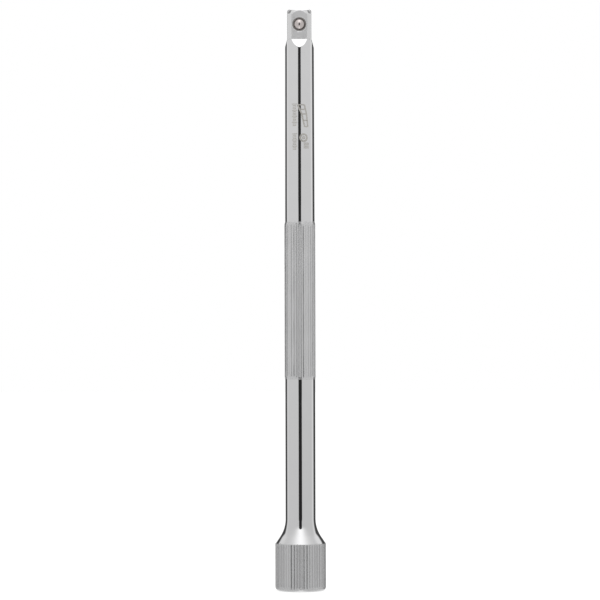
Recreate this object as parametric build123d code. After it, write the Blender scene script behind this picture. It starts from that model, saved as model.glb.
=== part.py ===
from build123d import *
import math
import os

# A quarter-inch drive socket extension bar, 6 in long, with its detent ball and spring. Millimetres.
# The origin is the centre of the socket end's face. +Z runs along the bar to the drive square, and
# the detent ball looks out of the square's -Y flat.

# The bar as a whole
BAR_LENGTH = 152.4

# Socket end, outside
HEAD_DIAMETER = 13.25
HEAD_HEIGHT = 12.4
HEAD_EDGE_RADIUS = 1.1
HEAD_SHOULDER_RADIUS = 0.5
HEAD_FLUTES = 52
HEAD_FLUTE_DEPTH = 0.22
HEAD_FLUTE_OVERRUN = 1.1  # up the flare, where the flutes run out

# Flare from the socket end down to the shank
FLARE_ANGLE = 34.0  # between the cone and the axis
FLARE_RADIUS = 8.4  # of the hollow where the cone meets the shank

# Shank and grip
LOWER_SHANK_DIAMETER = 7.92
UPPER_SHANK_DIAMETER = 7.6
SHANK_TAPER_TOP = 140.0  # from here down to the grip the upper shank widens a little
SHANK_DIAMETER_AT_GRIP = 7.78
GRIP_DIAMETER = 8.08
GRIP_START = 55.4
GRIP_END = 96.7
GRIP_CHAMFER_LENGTH = 0.7
GRIP_FLUTES = 32
GRIP_FLUTE_DEPTH = 0.2
GRIP_FLUTE_OVERRUN = 0.3

# A flute is a V that takes this share of the pitch, and leaves the rest as a land
FLUTE_SHARE = 0.66

# Drive square
SQUARE_ACROSS_FLATS = 6.3
SQUARE_FLAT_LENGTH = 7.92
RUNOUT_ANGLE = 16.0  # between the ramp behind each flat and the axis
RUNOUT_BEND_RADIUS = 0.4  # between the flat and the ramp
SQUARE_END_ANGLE = 31.5  # between the end cone and the axis
SQUARE_END_FACE_RADIUS = 2.88
SQUARE_END_EDGE_RADIUS = 0.8

# Socket, inside
SOCKET_ACROSS_FLATS = 6.45
SOCKET_DEPTH = 8.5
SOCKET_CORNER_RADIUS = 0.25
SOCKET_MOUTH_RADIUS = 4.85
PILOT_RADIUS = 3.2
PILOT_DEPTH = 10.2
DRILL_POINT_ANGLE = 59.0  # half of a 118 degree point
CATCH_HEIGHT = 4.0
CATCH_DEPTH = 0.42
CATCH_SECTION_RADIUS = 1.6

# Detent
BALL_RADIUS = 25.4 / 16  # a 1/8 in ball
BALL_FROM_END = 4.07
BALL_CENTRE_DEPTH = 0.95  # below the flat, when the ball rests in its staked edge
BALL_CLEARANCE = 0.03
STAKE_RADIUS = 1.8
STAKE_DEPTH = 0.25
DETENT_BORE_DEPTH = 5.2
SPRING_MEAN_RADIUS = 1.1
SPRING_WIRE_RADIUS = 0.2
SPRING_TURNS = 4.5
SPRING_GAP = 0.02

# How far a cutting body reaches past the surface that it cuts
OVERCUT = 1.0

# Worked out from the above
head_radius = HEAD_DIAMETER / 2
lower_shank_radius = LOWER_SHANK_DIAMETER / 2
upper_shank_radius = UPPER_SHANK_DIAMETER / 2
grip_radius = GRIP_DIAMETER / 2
square_flat = SQUARE_ACROSS_FLATS / 2
ball_height = BAR_LENGTH - BALL_FROM_END
ball_y = BALL_CENTRE_DEPTH - square_flat
seat_radius = BALL_RADIUS + BALL_CLEARANCE
bore_end_y = DETENT_BORE_DEPTH - square_flat
toward_inside = Rotation(-90, 0, 0)  # turns +Z to +Y, the way into the detent's bore
bottom_aligned = (Align.CENTER, Align.CENTER, Align.MIN)


def cone_length(radius_change, angle):
    """Length along the axis over which a cone at this angle to the axis changes radius so much."""
    return radius_change / math.tan(math.radians(angle))


def turned_blank():
    """The bar as it leaves the lathe, before any flute, flat or bore: one revolved outline."""
    flare_top = HEAD_HEIGHT + cone_length(head_radius - lower_shank_radius, FLARE_ANGLE)
    end_cone_start = BAR_LENGTH - cone_length(upper_shank_radius - SQUARE_END_FACE_RADIUS, SQUARE_END_ANGLE)
    head_edge = (head_radius, 0)
    head_shoulder = (head_radius, HEAD_HEIGHT)
    flare_hollow = (lower_shank_radius, flare_top)
    end_edge = (SQUARE_END_FACE_RADIUS, BAR_LENGTH)
    corners = [
        (0, 0),
        head_edge,
        head_shoulder,
        flare_hollow,
        (lower_shank_radius, GRIP_START),
        (grip_radius, GRIP_START + GRIP_CHAMFER_LENGTH),
        (grip_radius, GRIP_END - GRIP_CHAMFER_LENGTH),
        (SHANK_DIAMETER_AT_GRIP / 2, GRIP_END),
        (upper_shank_radius, SHANK_TAPER_TOP),
        (upper_shank_radius, end_cone_start),
        end_edge,
        (0, BAR_LENGTH),
    ]
    outline = make_face(Polyline(*corners, close=True))
    rounded = (
        (head_edge, HEAD_EDGE_RADIUS),
        (head_shoulder, HEAD_SHOULDER_RADIUS),
        (flare_hollow, FLARE_RADIUS),
        (end_edge, SQUARE_END_EDGE_RADIUS),
    )
    for corner, radius in rounded:
        outline = fillet(outline.vertices().sort_by_distance(corner)[0], radius)
    return revolve(Plane.XZ * outline, Axis.Z)


def flute_cutters(count, crest_radius, depth, bottom, top):
    """One straight V for each flute, from bottom to top, evenly round the axis."""
    half_width = FLUTE_SHARE * math.pi * crest_radius / count
    # The V reaches as far outside the crest as it goes in, where it is twice as wide as at the crest
    reach = crest_radius + depth
    notch = make_face(
        Polyline(
            (crest_radius - depth, 0),
            (reach, -2 * half_width),
            (reach, 2 * half_width),
            close=True,
        )
    )
    cutter = Pos(0, 0, bottom) * extrude(notch, top - bottom)
    return [place * cutter for place in PolarLocations(0, count)]


def flat_mills():
    """One body for each flat of the drive square: what is milled off the flat and its ramp."""
    reach = UPPER_SHANK_DIAMETER
    ramp_start = BAR_LENGTH - SQUARE_FLAT_LENGTH
    bend = (square_flat, ramp_start)
    outline = make_face(
        Polyline(
            (square_flat, BAR_LENGTH + OVERCUT),
            bend,
            (square_flat + reach, ramp_start - cone_length(reach, RUNOUT_ANGLE)),
            (square_flat + reach, BAR_LENGTH + OVERCUT),
            close=True,
        )
    )
    outline = fillet(outline.vertices().sort_by_distance(bend)[0], RUNOUT_BEND_RADIUS)
    mill = extrude(Plane.XZ * outline, UPPER_SHANK_DIAMETER, both=True)
    return [place * mill for place in PolarLocations(0, 4)]


def drive_socket():
    """The hollow of the socket end: broached square, mouth chamfer, pilot bore and ball groove."""
    square = Rectangle(SOCKET_ACROSS_FLATS, SOCKET_ACROSS_FLATS)
    square = fillet(square.vertices(), SOCKET_CORNER_RADIUS)
    broached = Pos(0, 0, -OVERCUT) * extrude(square, SOCKET_DEPTH + OVERCUT)
    mouth_reach = SOCKET_MOUTH_RADIUS + OVERCUT
    mouth = Pos(0, 0, -OVERCUT) * Cone(mouth_reach, 0, mouth_reach, align=bottom_aligned)
    pilot_outline = Polyline(
        (0, 0),
        (PILOT_RADIUS, 0),
        (PILOT_RADIUS, PILOT_DEPTH),
        (0, PILOT_DEPTH + cone_length(PILOT_RADIUS, DRILL_POINT_ANGLE)),
        close=True,
    )
    pilot = revolve(Plane.XZ * make_face(pilot_outline), Axis.Z)
    groove_radius = SOCKET_ACROSS_FLATS / 2 + CATCH_DEPTH - CATCH_SECTION_RADIUS
    groove = Pos(0, 0, CATCH_HEIGHT) * Torus(groove_radius, CATCH_SECTION_RADIUS)
    return [broached, mouth, pilot, groove]


def detent_bore():
    """The blind hole behind the front flat, its round seat for the ball, and the staked ring."""
    at_ball = Pos(0, ball_y, ball_height)
    at_flat = Pos(0, -square_flat, ball_height)
    barrel = at_ball * toward_inside * Cylinder(seat_radius, bore_end_y - ball_y, align=bottom_aligned)
    seat = at_ball * Sphere(seat_radius)
    lip_radius = math.sqrt(seat_radius**2 - (BALL_CENTRE_DEPTH - STAKE_DEPTH) ** 2)
    slope = (STAKE_RADIUS - lip_radius) / STAKE_DEPTH
    stake = at_flat * Pos(0, -STAKE_DEPTH, 0) * toward_inside * Cone(
        STAKE_RADIUS + slope * STAKE_DEPTH, lip_radius, 2 * STAKE_DEPTH, align=bottom_aligned
    )
    return [barrel + seat, stake]


def extension_bar():
    """The forging: the turned blank, less its flutes, its flats, its socket and the ball's bore."""
    bar = turned_blank()
    head_top = HEAD_HEIGHT + HEAD_FLUTE_OVERRUN
    bar -= flute_cutters(HEAD_FLUTES, head_radius, HEAD_FLUTE_DEPTH, -OVERCUT, head_top)
    grip_bottom = GRIP_START - GRIP_FLUTE_OVERRUN
    grip_top = GRIP_END + GRIP_FLUTE_OVERRUN
    bar -= flute_cutters(GRIP_FLUTES, grip_radius, GRIP_FLUTE_DEPTH, grip_bottom, grip_top)
    bar -= flat_mills()
    bar -= drive_socket()
    bar -= detent_bore()
    return bar


def detent_ball():
    """The ball at rest, pushed out against its staked edge."""
    return Pos(0, ball_y, ball_height) * Sphere(BALL_RADIUS)


def detent_spring():
    """A helix of round wire from the back of the ball to the bottom of the bore."""
    reach = BALL_RADIUS + SPRING_WIRE_RADIUS + SPRING_GAP
    start_y = ball_y + math.sqrt(reach**2 - SPRING_MEAN_RADIUS**2)
    end_y = bore_end_y - SPRING_WIRE_RADIUS - SPRING_GAP
    height = end_y - start_y
    helix = Helix(pitch=height / SPRING_TURNS, height=height, radius=SPRING_MEAN_RADIUS)
    section = Plane(helix @ 0, z_dir=helix % 0) * Circle(SPRING_WIRE_RADIUS)
    wire = sweep(section, path=helix, is_frenet=True)
    return Pos(0, start_y, ball_height) * toward_inside * wire


parts = {
    "extension_bar": extension_bar(),
    "detent_ball": detent_ball(),
    "detent_spring": detent_spring(),
}
os.makedirs("parts", exist_ok=True)
for name, shape in parts.items():
    export_step(shape, f"parts/{name}.step")
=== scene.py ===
import math
import random

import bmesh
import bpy
import numpy as np
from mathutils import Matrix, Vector


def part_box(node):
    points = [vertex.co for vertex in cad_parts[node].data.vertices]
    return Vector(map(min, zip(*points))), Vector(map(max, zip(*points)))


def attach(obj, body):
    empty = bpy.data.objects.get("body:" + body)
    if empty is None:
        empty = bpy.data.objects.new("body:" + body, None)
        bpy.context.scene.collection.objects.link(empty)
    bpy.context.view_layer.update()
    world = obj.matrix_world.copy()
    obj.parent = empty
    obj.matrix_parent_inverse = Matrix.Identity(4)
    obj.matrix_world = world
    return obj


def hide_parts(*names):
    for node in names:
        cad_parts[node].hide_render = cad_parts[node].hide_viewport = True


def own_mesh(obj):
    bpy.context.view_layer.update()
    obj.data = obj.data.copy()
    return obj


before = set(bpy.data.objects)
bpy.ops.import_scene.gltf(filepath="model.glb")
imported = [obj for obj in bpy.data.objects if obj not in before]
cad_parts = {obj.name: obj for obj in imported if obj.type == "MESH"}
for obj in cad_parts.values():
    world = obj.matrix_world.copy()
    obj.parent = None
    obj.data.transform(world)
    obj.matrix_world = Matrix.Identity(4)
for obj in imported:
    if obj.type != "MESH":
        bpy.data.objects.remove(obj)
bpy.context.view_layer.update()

# Sizes are in millimetres up to the point where a mesh is written. Blender's metres are MM times that.
MM = 0.001

# The bar's driving sizes, as in the CAD part
SQUARE_FLAT = 3.15
SQUARE_FLAT_LENGTH = 7.92
RUNOUT_ANGLE = math.radians(16.0)
RUNOUT_BEND_RADIUS = 0.4
SQUARE_END_ANGLE = math.radians(31.5)
SQUARE_END_FACE_RADIUS = 2.88
SQUARE_END_EDGE_RADIUS = 0.8
UPPER_SHANK_RADIUS = 3.8
SHANK_TAPER_TOP = 140.0
SHANK_RADIUS_AT_GRIP = 3.89
LOWER_SHANK_RADIUS = 3.96
GRIP_RADIUS = 4.04
GRIP_START = 55.4
GRIP_END = 96.7
GRIP_LEAD = 0.7
HEAD_RADIUS = 6.625
HEAD_HEIGHT = 12.4
HEAD_EDGE_RADIUS = 1.1
HEAD_SHOULDER_RADIUS = 0.5
FLARE_ANGLE = math.radians(34.0)
FLARE_RADIUS = 8.4
SOCKET_FLAT = 3.225
SOCKET_DEPTH = 8.5
SOCKET_CORNER_RADIUS = 0.25
MOUTH_RADIUS = 4.85
PILOT_RADIUS = 3.2
PILOT_DEPTH = 10.2
DRILL_POINT_ANGLE = math.radians(59.0)
CATCH_HEIGHT = 4.0
CATCH_DEPTH = 0.42
CATCH_SECTION_RADIUS = 1.6
STAKE_RADIUS = 1.8
STAKE_DEPTH = 0.25
BALL_CLEARANCE = 0.03
WIRE_RADIUS = 0.2
SPRING_GAP = 0.02

# Straight knurls: how many flutes go round the bar, and how deep they are
GRIP_FLUTES = 32
GRIP_FLUTE_DEPTH = 0.2
HEAD_FLUTES = 52
HEAD_FLUTE_DEPTH = 0.22

# How uneven the flutes are: their depth as a share of the full depth, the rest as shares of the pitch
LEAST_DEPTH = 0.3
OFF_MIDDLE = 0.06
LEAST_HALF_WIDTH, MOST_HALF_WIDTH = 0.26, 0.38
BESIDE_EDGE = 0.045  # how far the points each side of a groove's edge are from it
BESIDE_ROOT = 0.03

# Where the flutes close. Each flute has a lift of its own, which moves its ends along the bar.
GRIP_CLOSING = 2.4  # length at each end of the grip that holds the flutes' ends
GRIP_TOP_FADE = 0.9
GRIP_BOTTOM_START, GRIP_BOTTOM_FADE = 0.75, 0.5
GRIP_BOTTOM_LIFT = 0.4  # share of a flute's lift that moves its lower end
HEAD_CLOSING = 0.7  # the same below the head's shoulder
HEAD_TOP_START, HEAD_TOP_FADE = 0.1, 0.6
HEAD_BOTTOM_START, HEAD_BOTTOM_FADE = 0.2, 0.8
HEAD_KNURL_REACH = 0.6  # up the flare
KNURL_SETTLE = 0.4  # length over which the points move from their even places to the knurl's

# The grip's grooves waver in depth along the bar
WAVER = 0.012
WAVER_RATE = 0.55  # radians to the millimetre
WAVER_SHIFT = 40  # radians to the millimetre of a flute's lift

# Small edges that the CAD part leaves sharp
CORNER_BLEND = 0.12  # between the drive square's flats and its round corners
FOOT_BLEND = 0.02  # between a flat's ramp and the shank
FOOT_BLEND_RATE = 3  # a third of the way down the ramp, the corner's blend has given way to the foot's
END_BLEND = 0.1  # between the flats and the end cone
KNURL_BLEND = 0.012
GROOVE_BLEND = 0.05  # between the socket's walls and the ball's groove
MOUTH_BLEND = 0.06
MOUTH_EDGE_RADIUS = 0.12

# The laser mark is a skin this much proud of the shank, with its underside this deep in it
MARK_PROUD = 0.006
MARK_ROOT = 0.03
MARK_CELL = 0.15  # the longest side of its mesh's faces round the bar

# Painted shade: how bright the metal's colour is made at the socket end, as a share of its tone at the drive
# square, as the light falls off towards that end
SOCKET_END_SHADED_TONE = 0.865

# Points round the bar: a whole number to each flute of either knurl and to each quarter turn
ROUND = 416

BAR_LENGTH = (Vector(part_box("extension_bar")[1]) / MM).z
ball_low, ball_high = (Vector(corner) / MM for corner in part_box("detent_ball"))
BALL_CENTRE = (ball_low + ball_high) / 2
BALL_RADIUS = (ball_high.z - ball_low.z) / 2
spring_low, spring_high = (Vector(corner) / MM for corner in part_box("detent_spring"))
BORE_END = spring_high.y + SPRING_GAP
DRILL_POINT = PILOT_DEPTH + PILOT_RADIUS / math.tan(DRILL_POINT_ANGLE)

chance = random.Random(7)

turn = np.arange(ROUND) * 2 * math.pi / ROUND  # angle round the bar, from the front flat's middle
from_flat = np.abs((turn + math.pi / 4) % (math.pi / 2) - math.pi / 4)  # angle from the nearest flat's


def smooth_min(a, b, blend):
    """The lesser of two radii, with the crease where they cross rounded over about the blend."""
    nearness = np.maximum(blend - np.abs(a - b), 0) / blend
    return np.minimum(a, b) - nearness**2 * blend / 4


def smooth_max(a, b, blend):
    return -smooth_min(-a, -b, blend)


def eased(count):
    """Shares from 0 up to but not including 1, close together at both ends."""
    return [(1 - math.cos(math.pi * i / count)) / 2 for i in range(count)]


def even(count):
    return [i / count for i in range(count)]


def ring(value):
    """One value for every point round the bar."""
    return np.full(ROUND, float(value))


def mesh_object(name, points, faces, smooth_below=50):
    """A piece from points in millimetres, smooth except at edges sharper than that many degrees."""
    mesh = bpy.data.meshes.new(name)
    mesh.from_pydata([tuple(p) for p in np.asarray(points) * MM], [], faces)
    mesh.validate()
    piece = bpy.data.objects.new(name, mesh)
    bpy.context.scene.collection.objects.link(piece)
    smooth(piece, smooth_below)
    return piece


def smooth(piece, below):
    piece.data.polygons.foreach_set("use_smooth", [True] * len(piece.data.polygons))
    piece.data.set_sharp_from_angle(angle=math.radians(below))


# ---------------------------------------------------------------- the bar's outside


def fillet(before, corner, after, radius, count):
    """Points on the arc that rounds a corner of an outline, from the side before to the side after."""
    corner = np.array(corner, float)
    inward = np.array(before, float) - corner
    outward = np.array(after, float) - corner
    inward /= np.linalg.norm(inward)
    outward /= np.linalg.norm(outward)
    half = math.acos(np.dot(inward, outward)) / 2
    centre = corner + (inward + outward) / np.linalg.norm(inward + outward) * radius / math.sin(half)
    start = corner + inward * radius / math.tan(half) - centre
    end = corner + outward * radius / math.tan(half) - centre
    sweep = math.pi - 2 * half
    arc = []
    for share in [*even(count), 1.0]:
        point = (start * math.sin((1 - share) * sweep) + end * math.sin(share * sweep)) / math.sin(sweep)
        arc.append(tuple(centre + point))
    return arc


def knurl(flutes, depth):
    """Angle and depth of a straight knurl at each point round the bar: uneven V grooves with plain
    lands between. The points crowd at the edges and the root of each groove, to keep them crisp."""
    pitch = 2 * math.pi / flutes
    first, last = 0.01, 0.99  # places of a pitch's outermost points
    angles, depths = [], []
    for i in range(flutes):
        deep = depth * chance.uniform(LEAST_DEPTH, 1.0)
        middle = 0.5 + chance.uniform(-OFF_MIDDLE, OFF_MIDDLE)
        half = chance.uniform(LEAST_HALF_WIDTH, MOST_HALF_WIDTH)
        left, right = middle - half, middle + half
        groove = [left - BESIDE_EDGE, left + BESIDE_EDGE, middle - BESIDE_ROOT]
        groove += [middle + BESIDE_ROOT, right - BESIDE_EDGE, right + BESIDE_EDGE]
        on_lands = ROUND // flutes - len(groove)
        before = on_lands // 2
        land_before = np.linspace(first, groove[0], before, endpoint=False)
        land_after = np.linspace(groove[-1], last, on_lands - before + 1)[1:]
        for place in (*land_before, *groove, *land_after):
            # the groove's own outline, half a pitch from the flat's middle
            angles.append((i + place - 0.5) * pitch)
            depths.append(deep * max(0.0, 1 - abs(place - middle) / half))
    return np.array(angles), np.array(depths)


def lift(flutes, least, most):
    """How far each flute's ends are moved along the bar, for each point round it."""
    return np.repeat([chance.uniform(least, most) for _ in range(flutes)], ROUND // flutes)


grip_turn, grip_depths = knurl(GRIP_FLUTES, GRIP_FLUTE_DEPTH)
head_turn, head_depths = knurl(HEAD_FLUTES, HEAD_FLUTE_DEPTH)
grip_lift = lift(GRIP_FLUTES, -0.3, 0.4)
head_lift = lift(HEAD_FLUTES, 0.0, 0.25)


def grip_surface(z):
    """Radius of the knurled grip at a height: the flutes come up and close towards both ends."""
    top = np.clip((z - (GRIP_END - GRIP_TOP_FADE + grip_lift)) / GRIP_TOP_FADE, 0, 1)
    bottom_start = GRIP_START + GRIP_BOTTOM_START + grip_lift * GRIP_BOTTOM_LIFT
    bottom = np.clip((bottom_start - z) / GRIP_BOTTOM_FADE, 0, 1)
    waver = WAVER * np.sin(z * WAVER_RATE + grip_lift * WAVER_SHIFT)
    depth = grip_depths + np.minimum(waver, grip_depths)
    return GRIP_RADIUS - np.maximum(depth - GRIP_FLUTE_DEPTH * (top + bottom), 0)


def head_surface(z):
    """Radius of the knurled head at a height: the flutes close at its shoulder and its rounded rim."""
    top = np.clip((z - (HEAD_HEIGHT - HEAD_TOP_START)) / HEAD_TOP_FADE, 0, 1)
    bottom = np.clip((HEAD_BOTTOM_START + head_lift - z) / HEAD_BOTTOM_FADE, 0, 1)
    return HEAD_RADIUS - np.maximum(head_depths - HEAD_FLUTE_DEPTH * (top + bottom), 0)


ramp_start = BAR_LENGTH - SQUARE_FLAT_LENGTH
bend_top = ramp_start + RUNOUT_BEND_RADIUS * math.tan(RUNOUT_ANGLE / 2)
bend_bottom = bend_top - RUNOUT_BEND_RADIUS * math.sin(RUNOUT_ANGLE)
ramp_end = ramp_start - (UPPER_SHANK_RADIUS - SQUARE_FLAT) / math.tan(RUNOUT_ANGLE)


def flat_distance(z):
    """How far a flat's face is from the axis: level, then a bend, then the ramp of the run-out."""
    into_bend = np.clip(bend_top - z, 0, bend_top - bend_bottom)
    bend = RUNOUT_BEND_RADIUS - np.sqrt(RUNOUT_BEND_RADIUS**2 - into_bend**2)
    return SQUARE_FLAT + bend + np.maximum(bend_bottom - z, 0) * math.tan(RUNOUT_ANGLE)


def end_cone(z):
    return SQUARE_END_FACE_RADIUS + (BAR_LENGTH - z) * math.tan(SQUARE_END_ANGLE)


def drive_surface(z):
    """Radius of the drive end at a height: a shank, four flats with their ramps, and the end cone."""
    flats = flat_distance(z) / np.cos(from_flat)
    down_ramp = np.clip(FOOT_BLEND_RATE * (bend_top - z) / (bend_top - ramp_end), 0, 1)
    blend = CORNER_BLEND + (FOOT_BLEND - CORNER_BLEND) * down_ramp
    squared = smooth_min(ring(UPPER_SHANK_RADIUS), flats, blend)
    return smooth_min(squared, end_cone(z), END_BLEND)


def drive_end_rows():
    """Rows from the end face down to the plain shank. They follow the arch over each flat and the foot
    of each ramp, so that both edges are clean."""
    end_edge = (SQUARE_END_FACE_RADIUS, BAR_LENGTH)
    below_edge = (end_cone(BAR_LENGTH - 1), BAR_LENGTH - 1)
    edge = fillet((0, BAR_LENGTH), end_edge, below_edge, SQUARE_END_EDGE_RADIUS, 8)
    rows = [(ring(edge[0][0] * share), ring(BAR_LENGTH), turn) for share in (0.3, 0.65)]
    rows += [(ring(r), ring(z), turn) for r, z in edge]
    arch_radius = np.minimum(SQUARE_FLAT / np.cos(from_flat), UPPER_SHANK_RADIUS)
    arch = BAR_LENGTH - (arch_radius - SQUARE_END_FACE_RADIUS) / math.tan(SQUARE_END_ANGLE)
    corner_depth = np.maximum(UPPER_SHANK_RADIUS * np.cos(from_flat) - SQUARE_FLAT, 0)
    foot = ramp_start - corner_depth / math.tan(RUNOUT_ANGLE)
    below_feet = 1.2
    stations = [ring(edge[-1][1]), arch, ring(bend_top), ring(bend_bottom), foot]
    stations.append(ring(foot.min() - below_feet))
    spacings = (eased(7)[1:], eased(14), even(2), eased(16), eased(8))
    for above, below, shares in zip(stations, stations[1:], spacings):
        for share in shares:
            z = above + (below - above) * share
            rows.append((drive_surface(z), z, turn))
    return rows


def turned_outline(top):
    """The lathe-turned outline from that height down to the edge of the socket end's face."""
    flare_top = HEAD_HEIGHT + (HEAD_RADIUS - LOWER_SHANK_RADIUS) / math.tan(FLARE_ANGLE)
    hollow = (LOWER_SHANK_RADIUS, flare_top)
    shoulder = (HEAD_RADIUS, HEAD_HEIGHT)
    rim = (HEAD_RADIUS, 0)
    flare = fillet((LOWER_SHANK_RADIUS, GRIP_START), hollow, shoulder, FLARE_RADIUS, 24)
    rounded_shoulder = fillet(hollow, shoulder, rim, HEAD_SHOULDER_RADIUS, 8)
    rounded_rim = fillet(shoulder, rim, (0, 0), HEAD_EDGE_RADIUS, 12)
    shank = evenly_along([
        ((UPPER_SHANK_RADIUS, top), 2),
        ((UPPER_SHANK_RADIUS, SHANK_TAPER_TOP), 8),
        ((SHANK_RADIUS_AT_GRIP, GRIP_END), 9),
        ((GRIP_RADIUS, GRIP_END - GRIP_LEAD), 8),
        ((GRIP_RADIUS, GRIP_END - GRIP_CLOSING), 12),
        ((GRIP_RADIUS, GRIP_START + GRIP_CLOSING), 7),
        ((GRIP_RADIUS, GRIP_START + GRIP_LEAD), 8),
        ((LOWER_SHANK_RADIUS, GRIP_START), 6),
        (flare[0], 0),
    ])
    cone = evenly_along([(flare[-1], 5), (rounded_shoulder[0], 0)])
    closing = (HEAD_RADIUS, HEAD_HEIGHT - HEAD_CLOSING)
    head = evenly_along([(rounded_shoulder[-1], 3), (closing, 7), (rounded_rim[0], 0)])
    return shank + flare[:-1] + cone + rounded_shoulder[:-1] + head + rounded_rim


def between(start, end, share):
    return tuple(a + (b - a) * share for a, b in zip(start, end))


def evenly_along(corners):
    """Points along a line of corners, each given with the number of points on the way to the next."""
    points = []
    for (start, count), (end, _) in zip(corners, corners[1:]):
        points += [between(start, end, share) for share in even(count)]
    return points


def knurled(radius, z):
    """The bar's radius at each point round it, where the turned blank has this radius."""
    around = ring(radius)
    angles = turn
    if GRIP_START < z < GRIP_END:
        around = smooth_min(around, grip_surface(ring(z)), KNURL_BLEND)
        share = min(1, (z - GRIP_START) / KNURL_SETTLE, (GRIP_END - z) / KNURL_SETTLE)
        angles = turn + (grip_turn - turn) * share
    elif z < HEAD_HEIGHT + HEAD_KNURL_REACH:
        around = smooth_min(around, head_surface(ring(z)), KNURL_BLEND)
        share = min(1, (HEAD_HEIGHT + HEAD_KNURL_REACH - z) / KNURL_SETTLE)
        angles = turn + (head_turn - turn) * share
    return around, ring(z), angles


# ---------------------------------------------------------------- the bar's socket


def socket_walls():
    """Distance of the broached square's walls from the axis, with its corners rounded."""
    corner_centre = SOCKET_FLAT - SOCKET_CORNER_RADIUS
    corner_turn = math.pi / 4 - from_flat
    corner_distance = corner_centre * math.sqrt(2)
    across = corner_distance * np.sin(corner_turn)
    reach = np.sqrt(np.maximum(SOCKET_CORNER_RADIUS**2 - across**2, 0))
    in_corner = np.tan(from_flat) > corner_centre / SOCKET_FLAT
    corner = corner_distance * np.cos(corner_turn) + reach
    return np.where(in_corner, corner, SOCKET_FLAT / np.cos(from_flat))


def socket_surface(walls, z):
    """Radius of the hollow at a height: the broached square, its mouth chamfer and the ball's groove."""
    groove_centre = SOCKET_FLAT + CATCH_DEPTH - CATCH_SECTION_RADIUS
    groove = groove_centre + np.sqrt(np.maximum(CATCH_SECTION_RADIUS**2 - (z - CATCH_HEIGHT) ** 2, 0))
    return smooth_max(smooth_max(walls, groove, GROOVE_BLEND), MOUTH_RADIUS - z, MOUTH_BLEND)


def socket_rows():
    """Rows over the face that the bar stands on, in through the mouth and up to the drill's point."""
    walls = socket_walls()
    face_edge = fillet((HEAD_RADIUS, 0), (MOUTH_RADIUS, 0), (MOUTH_RADIUS - 1, 1), MOUTH_EDGE_RADIUS, 4)
    on_face = (MOUTH_RADIUS + 0.35, 0.0)
    rows = [(ring(r), ring(z), turn) for r, z in [on_face, *face_edge]]
    groove_half = math.sqrt(CATCH_SECTION_RADIUS**2 - (CATCH_SECTION_RADIUS - CATCH_DEPTH) ** 2)
    stations = [
        ring(face_edge[-1][1]),
        MOUTH_RADIUS - walls,
        ring(CATCH_HEIGHT - groove_half),
        ring(CATCH_HEIGHT + groove_half),
        ring(SOCKET_DEPTH),
    ]
    spacings = (eased(7)[1:], eased(6), eased(12), even(3))
    for below, above, shares in zip(stations, stations[1:], spacings):
        for share in shares:
            z = below + (above - below) * share
            rows.append((socket_surface(walls, z), z, turn))
    for share in (0.0, 0.5, 1.0):
        rows.append((walls + (PILOT_RADIUS - walls) * share, ring(SOCKET_DEPTH), turn))
    for share in (0.0, 0.4, 0.8):
        z = PILOT_DEPTH + (DRILL_POINT - PILOT_DEPTH) * share
        rows.append((ring(PILOT_RADIUS * (1 - share)), ring(z), turn))
    return rows


# ---------------------------------------------------------------- the bar as one mesh


def round_skin(name, start, rows, end, sides, place):
    """A closed skin over rows of points, from a start point to an end point. place(row, k) is a point."""
    points = [start]
    for row in rows:
        points += [place(row, k) for k in range(sides)]
    points.append(end)
    last = len(points) - 1
    bottom = last - sides
    faces = []
    for k in range(sides):
        after = (k + 1) % sides
        faces.append((0, 1 + k, 1 + after))
        for near in range(1, bottom, sides):
            far = near + sides
            faces.append((near + k, far + k, far + after, near + after))
        faces.append((bottom + k, last, bottom + after))
    return mesh_object(name, points, faces)


def bar_mesh():
    """The bar's skin, from the middle of the drive square's end over the outside and into the socket."""
    drive_end = drive_end_rows()
    step_down = 0.6
    outside = drive_end + [knurled(r, z) for r, z in turned_outline(drive_end[-1][1].min() - step_down)]

    def place(row, k):
        radius, z, angles = row
        # an angle of 0 is the front flat's middle, which faces -Y
        return (radius[k] * math.sin(angles[k]), -radius[k] * math.cos(angles[k]), z[k])

    rows = outside + socket_rows()
    return round_skin("bar_skin", (0, 0, BAR_LENGTH), rows, (0, 0, DRILL_POINT), ROUND, place)


def bore_cutter():
    """The ball's bore, round the Y axis: staked ring, round seat, straight barrel, flat bottom."""
    seat = BALL_RADIUS + BALL_CLEARANCE
    flat_y = -SQUARE_FLAT
    lip_y = flat_y + STAKE_DEPTH
    lip_angle = math.acos((BALL_CENTRE.y - lip_y) / seat)
    # it opens out in front of the flat, and takes a hair off the staked ring's edge
    open_by, open_over = 0.25, 0.4
    hair_out, hair_in = 0.05, 0.02
    rows = [
        (STAKE_RADIUS + open_by, flat_y - open_over),
        (STAKE_RADIUS + hair_out, flat_y - hair_in),
        (STAKE_RADIUS, flat_y + hair_in),
    ]
    for share in [*even(8), 1.0]:
        angle = lip_angle + (math.pi / 2 - lip_angle) * share
        rows.append((seat * math.sin(angle), BALL_CENTRE.y - seat * math.cos(angle)))
    rows.append((seat, BORE_END))
    sides = 96

    def place(row, k):
        radius, y = row
        angle = 2 * math.pi * k / sides
        return (radius * math.cos(angle), y, BALL_CENTRE.z + radius * math.sin(angle))

    start = (0, rows[0][1], BALL_CENTRE.z)
    return round_skin("bore_cutter", start, rows, (0, BORE_END, BALL_CENTRE.z), sides, place)


def cut(piece, cutter):
    """Takes the cutter's space out of the piece, and removes the cutter."""
    modifier = piece.modifiers.new("cut", "BOOLEAN")
    modifier.operation = "DIFFERENCE"
    modifier.solver = "EXACT"
    modifier.object = cutter
    bpy.context.view_layer.update()
    cut_mesh = bpy.data.meshes.new_from_object(piece.evaluated_get(bpy.context.evaluated_depsgraph_get()))
    piece.modifiers.clear()
    piece.data = cut_mesh
    bpy.data.objects.remove(cutter)
    smooth(piece, 50)


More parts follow.
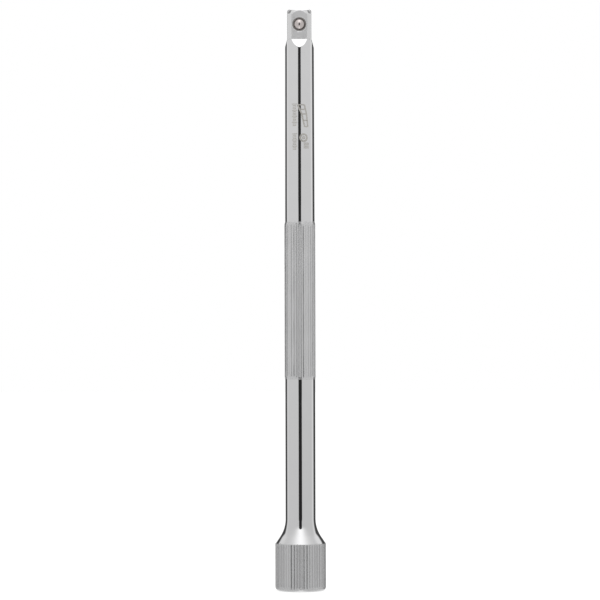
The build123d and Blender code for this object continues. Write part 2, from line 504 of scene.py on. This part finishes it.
# ---------------------------------------------------------------- the laser mark


class ShankMark:
    """Plain shapes wrapped on the upper shank: closed shells that stand a hair proud of the plating.
    A shape's place is an arc length along the surface from the bar's front, and a height."""

    def __init__(self):
        self.points = []
        self.faces = []

    def sheet(self, arc, height, closed):
        """A shell over a grid of arc lengths and heights. If closed, its last column joins its first."""
        columns, rows = arc.shape
        first = len(self.points)
        share = (SHANK_TAPER_TOP - height) / (SHANK_TAPER_TOP - GRIP_END)
        shank = UPPER_SHANK_RADIUS + (SHANK_RADIUS_AT_GRIP - UPPER_SHANK_RADIUS) * share
        for radius in (shank + MARK_PROUD, shank - MARK_ROOT):
            angle = arc / shank
            layer = np.stack([radius * np.sin(angle), -radius * np.cos(angle), height], axis=-1)
            self.points += [tuple(p) for p in layer.reshape(-1, 3)]
        under = columns * rows

        def at(i, j, layer):
            return first + layer * under + (i % columns) * rows + j

        last_column = columns if closed else columns - 1
        for i in range(last_column):
            for j in range(rows - 1):
                self.faces.append((at(i, j, 0), at(i + 1, j, 0), at(i + 1, j + 1, 0), at(i, j + 1, 0)))
                self.faces.append((at(i, j, 1), at(i, j + 1, 1), at(i + 1, j + 1, 1), at(i + 1, j, 1)))
            self.faces.append((at(i, 0, 1), at(i + 1, 0, 1), at(i + 1, 0, 0), at(i, 0, 0)))
            top = rows - 1
            self.faces.append((at(i, top, 0), at(i + 1, top, 0), at(i + 1, top, 1), at(i, top, 1)))
        if not closed:
            for j in range(rows - 1):
                self.faces.append((at(0, j, 0), at(0, j + 1, 0), at(0, j + 1, 1), at(0, j, 1)))
                end = columns - 1
                self.faces.append((at(end, j, 1), at(end, j + 1, 1), at(end, j + 1, 0), at(end, j, 0)))

    def stroke(self, start, end, width):
        """A straight band from one place to another, as wide as that."""
        start, end = np.array(start, float), np.array(end, float)
        along = end - start
        length = np.linalg.norm(along)
        across = np.array((along[1], -along[0])) / length * width / 2
        steps = max(2, math.ceil(max(abs(along[0]), width) / MARK_CELL) + 1)
        shares = np.linspace(0, 1, steps)
        grid = [[start + along * u + across * (2 * v - 1) for v in shares] for u in shares]
        grid = np.array(grid)
        self.sheet(grid[:, :, 0], grid[:, :, 1], closed=False)

    def ring(self, centre, outer, width):
        sides, across = 48, 4
        angle = np.linspace(0, 2 * math.pi, sides, endpoint=False)[:, None]
        radius = np.linspace(outer - width, outer, across)[None, :]
        self.sheet(centre[0] + radius * np.cos(angle), centre[1] + radius * np.sin(angle), closed=True)


def laser_mark():
    """A generic mark with no lettering: two scales of ticks, a bent ladder, a ring and a stack of bars."""
    mark = ShankMark()
    # two scales to the left, one above the other, with every fourth tick longer
    middle, spacing, width = -1.35, 0.4, 0.22
    for top, count in ((127.4, 15), (119.6, 11)):
        for i in range(count):
            z = top - i * spacing
            reach = 0.74 if i % 4 == 0 else 0.5
            mark.stroke((middle - reach, z), (middle + reach, z), width)
    # a ladder that bends as it crosses the front: two rails and their rungs
    left_rail = [(-0.5, 127.2), (0.6, 124.8), (1.35, 121.5)]
    right_rail = [(1.3, 127.2), (1.9, 124.8), (2.3, 121.5)]
    rail_width, rung_width = 0.42, 0.34
    for rail in (left_rail, right_rail):
        for start, end in zip(rail, rail[1:]):
            mark.stroke(start, end, rail_width)
    for rails, share in ((0, 0.0), (0, 0.5), (1, 0.0), (1, 0.5), (1, 1.0)):
        left = between(left_rail[rails], left_rail[rails + 1], share)
        right = between(right_rail[rails], right_rail[rails + 1], share)
        mark.stroke(left, right, rung_width)
    # a ring round a dot, over a stack of bars
    centre = (1.1, 118.6)
    mark.ring(centre, 1.15, 0.5)
    mark.ring(centre, 0.42, 0.3)
    left, right, top, spacing, width = 1.1, 2.6, 117.2, 0.42, 0.28
    for i in range(4):
        mark.stroke((left, top - i * spacing), (right, top - i * spacing), width)
    return mesh_object("laser_mark", mark.points, mark.faces)


# ---------------------------------------------------------------- ball and spring


def ball_mesh():
    """The ball as a cube blown up to a sphere, so that its faces are even."""
    grown = bmesh.new()
    bmesh.ops.create_cube(grown, size=2)
    cells = 24  # along each side of the cube
    bmesh.ops.subdivide_edges(grown, edges=grown.edges, cuts=cells - 1, use_grid_fill=True)
    for vert in grown.verts:
        # equal angles between the lines of each side
        swung = Vector(math.tan(c * math.pi / 4) for c in vert.co)
        vert.co = (BALL_CENTRE + swung.normalized() * BALL_RADIUS) * MM
    mesh = bpy.data.meshes.new("ball_skin")
    grown.to_mesh(mesh)
    grown.free()
    piece = bpy.data.objects.new("ball_skin", mesh)
    bpy.context.scene.collection.objects.link(piece)
    smooth(piece, 50)
    return piece


def spring_mesh():
    """Round wire wound round the bore's axis, with a closed turn at each end."""
    mean_radius = (spring_high.x - spring_low.x) / 2 - WIRE_RADIUS
    start = spring_low.y + WIRE_RADIUS
    end = BORE_END - SPRING_GAP - WIRE_RADIUS
    closed = 0.75  # turns at each end that lie on the next
    active = 2.75
    air = 1.06  # between closed turns, as a share of the wire
    closed_rise = closed * 2 * WIRE_RADIUS * air
    steps, sides = 180, 14
    rows = []
    for share in [*even(steps), 1.0]:
        turns = (2 * closed + active) * share
        first = min(turns, closed) / closed
        last = max(turns - closed - active, 0) / closed
        middle = min(max(turns - closed, 0), active) / active
        y = start + closed_rise * (first + last) + (end - start - 2 * closed_rise) * middle
        rows.append((y, 2 * math.pi * turns))

    def place(row, k):
        y, angle = row
        around = -2 * math.pi * k / sides
        radius = mean_radius + WIRE_RADIUS * math.cos(around)
        return (
            radius * math.cos(angle),
            y + WIRE_RADIUS * math.sin(around),
            BALL_CENTRE.z + radius * math.sin(angle),
        )

    def middle_of(row):
        y, angle = row
        return (mean_radius * math.cos(angle), y, BALL_CENTRE.z + mean_radius * math.sin(angle))

    return round_skin("spring_wire", middle_of(rows[0]), rows, middle_of(rows[-1]), sides, place)


# ---------------------------------------------------------------- materials


class Graph:
    """Short names for adding shader nodes to a tree and joining them."""

    def __init__(self, tree):
        self.tree = tree
        tree.nodes.clear()

    def node(self, kind, inputs=None, **settings):
        made = self.tree.nodes.new(kind)
        for name, value in settings.items():
            setattr(made, name, value)
        for name, value in (inputs or {}).items():
            if isinstance(value, bpy.types.NodeSocket):
                self.tree.links.new(value, made.inputs[name])
            else:
                made.inputs[name].default_value = value
        return made

    def math(self, operation, *values):
        return self.node("ShaderNodeMath", dict(enumerate(values)), operation=operation).outputs[0]

    def ramp(self, value, start, end, low, high):
        """Goes from low to high as the value goes from start to end, smoothly, and holds beyond them."""
        made = self.node(
            "ShaderNodeMapRange",
            {"Value": value, "From Min": start, "From Max": end, "To Min": low, "To Max": high},
            interpolation_type="SMOOTHSTEP",
        )
        return made.outputs["Result"]

    def band(self, value, start, full, fade, end):
        """Goes from 0 to 1 between start and full, and back to 0 between fade and end."""
        rising = self.ramp(value, start, full, 0, 1)
        return self.math("MULTIPLY", rising, self.ramp(value, fade, end, 1, 0))

    def parts(self, vector):
        return self.node("ShaderNodeSeparateXYZ", {0: vector}).outputs[:]

    def blend(self, share, start, end):
        """The value start where the share is 0, and end where it is 1."""
        made = self.node("ShaderNodeMapRange", {"Value": share, "To Min": start, "To Max": end})
        return made.outputs["Result"]

    def noise(self, vector, scale, detail=3.0, stretch=(1, 1, 1)):
        """Noise from 0 to 1 with features about 1/scale metres across. stretch draws them out on an axis."""
        mapped = self.node("ShaderNodeMapping", {"Vector": vector, "Scale": stretch}).outputs[0]
        made = self.node("ShaderNodeTexNoise", {"Vector": mapped, "Scale": scale, "Detail": detail})
        return made.outputs["Fac"]


# Scales of the noise in every metal, in features to the metre
BLOTCHES = 260
STREAKS = 2600
POLISH_MARKS = 5200
SWELLS = 330

# The bump is this high in metres, and the polish marks are this share of it
BUMP_HEIGHT = 2e-6
POLISH_SHARE = 0.35

# Painted shade in a knurl's grooves: how much darker they are made, and how far below the crests that sets
# in
GROOVE_SHADE = 0.72
GROOVE_SHADE_START, GROOVE_SHADE_FULL = 0.01, 0.12
GROOVE_SHADE_EDGE = 0.3  # length over which it fades at each end of the knurl


def metal(name, tint, spread, rough, rough_spread, lines, dents, knurl=None, metallic=1.0):
    """A bare or plated metal: grey that varies a little, roughness in fine streaks, and a fine bump.
    lines draws the polishing marks out along an axis, and dents is the share of broader unevenness.
    knurl is the crest radius, bottom and top of a knurl, whose grooves are darkened with painted shade.
    metallic below 1 makes it partly matt, as the edges of a knurl's many small flats do."""
    material = bpy.data.materials.new(name)
    material.use_nodes = True
    g = Graph(material.node_tree)
    place = g.node("ShaderNodeTexCoord").outputs["Object"]
    blotch = g.noise(place, BLOTCHES, detail=4)
    streak = g.noise(place, STREAKS, stretch=(1, 1, 0.06))
    dark = tuple(c * (1 - spread) for c in tint)
    colour = g.node("ShaderNodeValToRGB", {"Fac": blotch})
    for stop, shade, position in zip(colour.color_ramp.elements, (dark, tint), (0.3, 0.7)):
        stop.color = (*shade, 1)
        stop.position = position
    roughness = g.ramp(streak, 0.35, 0.7, rough, rough + rough_spread)
    x, y, z = g.parts(place)
    # painted shade: the tone falls slowly from the drive square to the socket end, as the light does
    painted_shade = g.ramp(z, 0.0, BAR_LENGTH * MM, SOCKET_END_SHADED_TONE, 1.0)
    if knurl:
        crest, bottom, top = (length * MM for length in knurl)
        radius = g.math("SQRT", g.math("ADD", g.math("MULTIPLY", x, x), g.math("MULTIPLY", y, y)))
        depth = g.math("SUBTRACT", crest, radius)
        # painted shade: the deeper a point lies below the crests, the darker its colour
        groove_shade = g.ramp(depth, GROOVE_SHADE_START * MM, GROOVE_SHADE_FULL * MM, 1.0, GROOVE_SHADE)
        # none beyond the knurl's straight part, where the surface is below the crests without a groove
        edge = GROOVE_SHADE_EDGE * MM
        straight = g.band(z, bottom, bottom + edge, top - edge, top)
        painted_shade = g.math("MULTIPLY", painted_shade, g.blend(straight, 1.0, groove_shade))
    shaded_colour = g.node("ShaderNodeVectorMath", {0: colour.outputs["Color"], "Scale": painted_shade}, operation="SCALE")
    marks = g.noise(place, POLISH_MARKS, detail=2, stretch=lines)
    swell = g.noise(place, SWELLS, detail=1)
    height = g.math("ADD", g.math("MULTIPLY", marks, POLISH_SHARE), g.math("MULTIPLY", swell, dents))
    bump = g.node("ShaderNodeBump", {"Height": height, "Strength": 1.0, "Distance": BUMP_HEIGHT})
    inputs = {"Base Color": shaded_colour.outputs[0], "Metallic": metallic}
    inputs |= {"Roughness": roughness, "Normal": bump.outputs[0]}
    shader = g.node("ShaderNodeBsdfPrincipled", inputs)
    g.node("ShaderNodeOutputMaterial", {"Surface": shader.outputs[0]})
    return material


# After its name and tint, each has its tint's spread, roughness, roughness's spread, lines and dents
chrome = metal("chrome_polished", (0.93, 0.93, 0.935), 0.02, 0.035, 0.03, (0.2, 0.2, 1), 2.0)
satin = metal("chrome_satin_flat", (0.90, 0.90, 0.905), 0.03, 0.50, 0.08, (1, 1, 0.3), 2.0)
head_straight = (HEAD_RADIUS, HEAD_EDGE_RADIUS, HEAD_HEIGHT)
grip_straight = (GRIP_RADIUS, GRIP_START + GRIP_LEAD, GRIP_END - GRIP_LEAD)
knurl_finish = (0.04, 0.15, 0.08, (1, 1, 0.05), 0.8)
# painted shade: the knurls' tints, darker than the plain plating's, stand for the light their flutes lose
head_knurl = metal("chrome_head_knurl", (0.72, 0.72, 0.725), *knurl_finish, head_straight, 0.7)
grip_knurl = metal("chrome_grip_knurl", (0.745, 0.745, 0.75), *knurl_finish, grip_straight, 0.7)
broached = metal("chrome_broached", (0.60, 0.60, 0.61), 0.15, 0.30, 0.12, (1, 1, 0.05), 4.0)
# painted shade: the ball's bore and staked ring are a dark grey for the shade in the crevice round the ball
bore_painted_shade = metal("bore_painted_shade", (0.50, 0.49, 0.48), 0.3, 0.45, 0.15, (1, 0.2, 1), 4.0)
mark_steel = metal("laser_mark_grey", (0.72, 0.70, 0.66), 0.10, 0.50, 0.10, (1, 1, 1), 1.0)
ball_steel = metal("ball_steel", (0.78, 0.715, 0.70), 0.06, 0.10, 0.06, (1, 1, 1), 3.0)
spring_steel = metal("spring_steel", (0.55, 0.54, 0.53), 0.12, 0.28, 0.1, (0.2, 0.2, 0.2), 3.0)


def paint_bar(bar):
    """Gives each of the bar's faces the finish of its zone: plated, satin, knurled, broached, or the bore's
    dark grey, which is painted shade round the ball.
    """
    zones = [chrome, satin, head_knurl, grip_knurl, broached, bore_painted_shade]
    plain, on_flat, on_head, on_grip, in_socket, in_bore = range(len(zones))
    mesh = bar.data
    mesh.materials.clear()
    for material in zones:
        mesh.materials.append(material)
    count = len(mesh.polygons)
    centre = np.zeros(count * 3)
    mesh.polygons.foreach_get("center", centre)
    x, y, z = centre.reshape(-1, 3).T / MM
    radius = np.hypot(x, y)
    across = np.maximum(np.abs(x), np.abs(y))
    from_ball = np.hypot(x, z - BALL_CENTRE.z)
    hair = 0.02
    off_face = 0.1  # above the face that the bar stands on
    knurl_band = 1.0  # how far in from the head's crests its knurl and its shoulder reach
    zone = np.full(count, plain)
    zone[(z > bend_bottom - hair) & (np.abs(across - flat_distance(z)) < hair)] = on_flat
    zone[(z > GRIP_START) & (z < GRIP_END)] = on_grip
    on_crests = radius > HEAD_RADIUS - knurl_band
    zone[(z > off_face) & (z < HEAD_HEIGHT + off_face) & on_crests] = on_head
    inside = radius < MOUTH_RADIUS + hair - np.minimum(z, 1)
    zone[(z > off_face) & (z < DRILL_POINT) & inside] = in_socket
    inward = (y > -SQUARE_FLAT + hair / 4) & (y < BORE_END + hair)
    zone[(z > bend_top) & (from_ball < STAKE_RADIUS + 3 * hair) & inward] = in_bore
    mesh.polygons.foreach_set("material_index", zone)


# ---------------------------------------------------------------- studio


# How bright the studio's parts are, against 1 for the paper that the camera sees
FRONT_LEFT, FRONT_RIGHT = 0.647, 0.623
SIDE_LEFT, SIDE_RIGHT = 0.10, 0.20  # added to the walls at the sides
BACKDROP = 0.95
OVERHEAD = 0.6
PAPER_IN_FRONT = 0.42

# How much of the light its dark parts take away
CARD = 0.92
STRIP = 0.65
GAP = 0.965


def studio_world():
    """Soft white walls all round, a dark gap in front, a dark card each side of the backdrop, and a
    broad light overhead."""
    world = bpy.data.worlds.new("studio")
    bpy.context.scene.world = world
    world.use_nodes = True
    g = Graph(world.node_tree)
    x, y, z = g.parts(g.node("ShaderNodeTexCoord").outputs["Generated"])
    deg = math.radians(1)
    around = g.math("ARCTAN2", x, g.math("MULTIPLY", y, -1.0))  # 0 in front, positive to the right
    off_front = g.math("ABSOLUTE", around)
    rise = g.math("ARCSINE", z)
    right = g.math("GREATER_THAN", x, 0.0)

    # walls: even in front, and brighter at the sides
    level = g.ramp(x, -0.3, 0.3, FRONT_LEFT, FRONT_RIGHT)
    side_light = g.ramp(off_front, 92 * deg, 118 * deg, 0, 1)
    side_light = g.math("MULTIPLY", side_light, g.blend(right, SIDE_LEFT, SIDE_RIGHT))
    level = g.math("ADD", level, side_light)
    # the backdrop, between the cards
    level = g.math("MAXIMUM", level, g.ramp(off_front, 145 * deg, 156 * deg, 0, BACKDROP))

    # the light overhead falls off to both sides of the middle
    spread = g.math("DIVIDE", g.math("SUBTRACT", x, 0.02), 0.42)
    fall_off = g.math("EXPONENT", g.math("MULTIPLY", g.math("MULTIPLY", spread, spread), -1.0))
    overhead = g.math("MULTIPLY", fall_off, g.ramp(rise, 18 * deg, 36 * deg, 0, OVERHEAD))
    level = g.math("ADD", level, overhead)

    # the dark card each side, in two parts: a low one, which on the left ends further from the
    # middle of the backdrop, and a slanting strip above it
    card_start = g.ramp(off_front, 113 * deg, 126 * deg, 0, 1)
    higher = g.math("MAXIMUM", g.math("SUBTRACT", rise, 4 * deg), 0.0)
    from_left_end = g.math("SUBTRACT", off_front, g.math("MULTIPLY", higher, 1.3))
    left_end = g.ramp(from_left_end, 151 * deg, 158 * deg, 1, 0)
    right_end = g.ramp(off_front, 168 * deg, 174 * deg, 1, 0)
    card = g.math("MULTIPLY", card_start, g.blend(right, left_end, right_end))
    card = g.math("MULTIPLY", card, g.band(rise, -24 * deg, -12 * deg, 21 * deg, 28 * deg))
    card = g.math("MULTIPLY", card, CARD)
    slant = g.math("MULTIPLY", g.math("SUBTRACT", off_front, 120 * deg), 0.51)
    strip = g.band(g.math("ADD", rise, slant), 36 * deg, 38 * deg, 44 * deg, 48 * deg)
    strip = g.math("MULTIPLY", strip, g.band(off_front, 104 * deg, 111 * deg, 134 * deg, 142 * deg))
    strip = g.math("MULTIPLY", strip, STRIP)
    card = g.math("MAXIMUM", card, strip)
    level = g.math("MULTIPLY", level, g.math("SUBTRACT", 1.0, card))

    # the dark gap in front, a little wider below level, with a rounded top
    edge = g.ramp(rise, -6 * deg, 6 * deg, 13.0 * deg, 10.6 * deg)
    edge = g.math("MULTIPLY", edge, g.ramp(rise, 27 * deg, 36 * deg, 1.0, 0.0))
    softness = g.ramp(rise, -6 * deg, 6 * deg, 1.6 * deg, 0.8 * deg)
    inner = g.math("SUBTRACT", edge, softness)
    outer = g.math("ADD", edge, softness)
    gap = g.ramp(off_front, inner, outer, 1, 0)
    gap = g.math("MULTIPLY", gap, g.band(rise, -22 * deg, -15 * deg, 30 * deg, 34 * deg))
    level = g.math("MULTIPLY", level, g.math("SUBTRACT", 1.0, g.math("MULTIPLY", gap, GAP)))

    # light thrown up from the paper in front of the bar
    from_middle = g.math("ABSOLUTE", x)
    glow = g.ramp(from_middle, 0.06, 0.24, PAPER_IN_FRONT, 0)
    glow = g.math("MULTIPLY", g.ramp(rise, -58 * deg, -33 * deg, 1, 0), glow)
    level = g.math("ADD", level, glow)

    seen = g.node("ShaderNodeLightPath").outputs["Is Camera Ray"]
    strength = g.math("ADD", g.math("MULTIPLY", level, g.math("SUBTRACT", 1.0, seen)), seen)
    lit = g.node("ShaderNodeBackground", {"Color": (1, 1, 1, 1), "Strength": strength})
    g.node("ShaderNodeOutputWorld", {"Surface": lit.outputs[0]})


def pale_floor():
    """A wide sweep of white paper that keeps a faint shadow of what stands on it."""
    cells, step = 8, 500.0
    across = [(i - cells / 2) * step for i in range(cells + 1)]
    points = [(x, y, 0) for y in across for x in across]
    faces = []
    for j in range(cells):
        for i in range(cells):
            first = j * (cells + 1) + i
            faces.append((first, first + 1, first + cells + 2, first + cells + 1))
    floor = mesh_object("floor", points, faces)
    floor.visible_glossy = False
    material = bpy.data.materials.new("paper")
    material.use_nodes = True
    g = Graph(material.node_tree)
    grey, brightness = 0.35, 0.8
    dull = g.node("ShaderNodeBsdfDiffuse", {"Color": (grey, grey, grey, 1)})
    glow = g.node("ShaderNodeEmission", {"Color": (1, 1, 1, 1), "Strength": brightness})
    both = g.node("ShaderNodeAddShader", {0: dull.outputs[0], 1: glow.outputs[0]})
    g.node("ShaderNodeOutputMaterial", {"Surface": both.outputs[0]})
    floor.data.materials.append(material)


def camera():
    """Level with the bar's middle, square on to the ball's flat, with a long lens."""
    distance = 930.0
    view_height = 157.337
    aim = Vector((0.015, 0, 76.21))
    roll = math.radians(0.14)
    data = bpy.data.cameras.new("camera")
    data.sensor_width = 36.0
    data.lens = data.sensor_width * distance / view_height
    data.clip_end = 20.0
    made = bpy.data.objects.new("camera", data)
    made.location = (aim + Vector((0, -distance, 0))) * MM
    made.rotation_euler = (math.pi / 2, roll, 0)
    bpy.context.scene.collection.objects.link(made)
    bpy.context.scene.camera = made


bpy.context.scene.view_settings.view_transform = "Standard"
studio_world()
pale_floor()
camera()

bar = bar_mesh()
cut(bar, bore_cutter())
paint_bar(bar)
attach(bar, "bar")
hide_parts("extension_bar")

mark = laser_mark()
mark.data.materials.append(mark_steel)
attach(mark, "bar")

ball = ball_mesh()
ball.data.materials.append(ball_steel)
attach(ball, "detent")
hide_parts("detent_ball")

spring = spring_mesh()
spring.data.materials.append(spring_steel)
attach(spring, "bar")
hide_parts("detent_spring")
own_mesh(spring)
